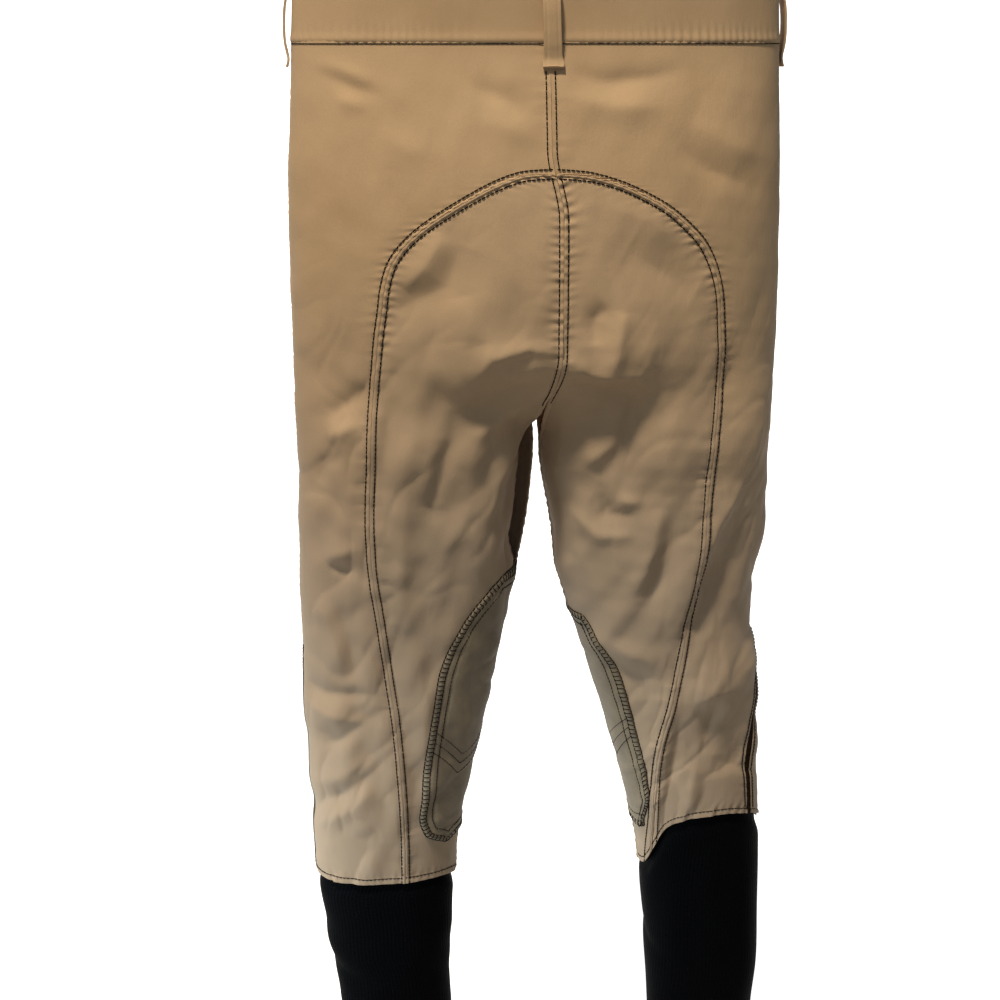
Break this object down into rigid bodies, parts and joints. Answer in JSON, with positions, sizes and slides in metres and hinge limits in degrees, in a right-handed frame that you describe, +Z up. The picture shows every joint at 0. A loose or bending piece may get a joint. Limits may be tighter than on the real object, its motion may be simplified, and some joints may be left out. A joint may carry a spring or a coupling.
{
  "type": "riding breeches",
  "caption": "Riding breeches hung by the waistband, with suede knee patches, a curved seat seam, elastic sock cuffs and a front fly that opens.",
  "frame": {"origin": "middle of the waistband's top edge, where a trouser hanger holds the garment", "axes": "+X to the wearer's left, +Y to the wearer's back, +Z up; the legs hang down to minus Z"},
  "size_m": [0.3899, 0.1353, 0.94],
  "materials": {
    "body_cloth": "matt stretch twill",
    "patch_suede": "brushed suede",
    "elastic_rib": "fine stretch knit",
    "stretch_insert": "dark stretch tape",
    "lining": "thin cotton",
    "zip_tape": "woven tape",
    "metal": "satin",
    "label": "blank satin tape"
  },
  "bodies": {
    "garment": {"seat_panel_left": "body_cloth", "back_side_panel_left": "body_cloth", "front_panel_left": "body_cloth", "side_insert_left": "stretch_insert", "knee_patch_left": "patch_suede", "hem_facing_left": "lining", "sock_cuff_left": "elastic_rib", "waistband_front_left": "body_cloth", "belt_loop_side_left": "body_cloth", "belt_loop_front_left": "body_cloth", "pocket_welt_left": "body_cloth", "pocket_bag_left": "lining", "zip_tape_left": "zip_tape", "zip_teeth_left": "metal", "seat_panel_right": "body_cloth", "back_side_panel_right": "body_cloth", "front_panel_right": "body_cloth", "side_insert_right": "stretch_insert", "knee_patch_right": "patch_suede", "hem_facing_right": "lining", "sock_cuff_right": "elastic_rib", "waistband_front_right": "body_cloth", "belt_loop_side_right": "body_cloth", "belt_loop_front_right": "body_cloth", "pocket_welt_right": "body_cloth", "pocket_bag_right": "lining", "zip_tape_right": "zip_tape", "zip_teeth_right": "metal", "waistband_back": "body_cloth", "waistband_facing": "lining", "waistband_underlap": "body_cloth", "belt_loop_back": "body_cloth", "fly_shield": "lining", "zip_stop": "metal", "hook_bar_upper": "metal", "hook_bar_lower": "metal", "size_label": "label"},
    "fly": {"fly_flap": "body_cloth", "waistband_tab": "body_cloth", "hook_upper": "metal", "hook_lower": "metal"},
    "slider": {"zip_slider": "metal"},
    "pull": {"zip_pull": "metal"}
  },
  "joints": [
    {"name": "fly_flap_open", "type": "hinge", "parent": "garment", "child": "fly", "pos_m": [0.0383, -0.05163, -0.042], "axis": [0, 0.0555, 0.9985], "range_deg": [0, 115]},
    {"name": "zip_run", "type": "slide", "parent": "garment", "child": "slider", "axis": [0, -0.0555, -0.9985], "range_m": [0, 0.088]},
    {"name": "pull_swing", "type": "hinge", "parent": "slider", "child": "pull", "pos_m": [0.015, -0.05066, -0.0515], "axis": [-1, 0, 0], "range_deg": [0, 60]}
  ],
  "couplings": [
    {"joint": "pull_swing", "follows": "fly_flap_open", "ratio": 0.5}
  ]
}
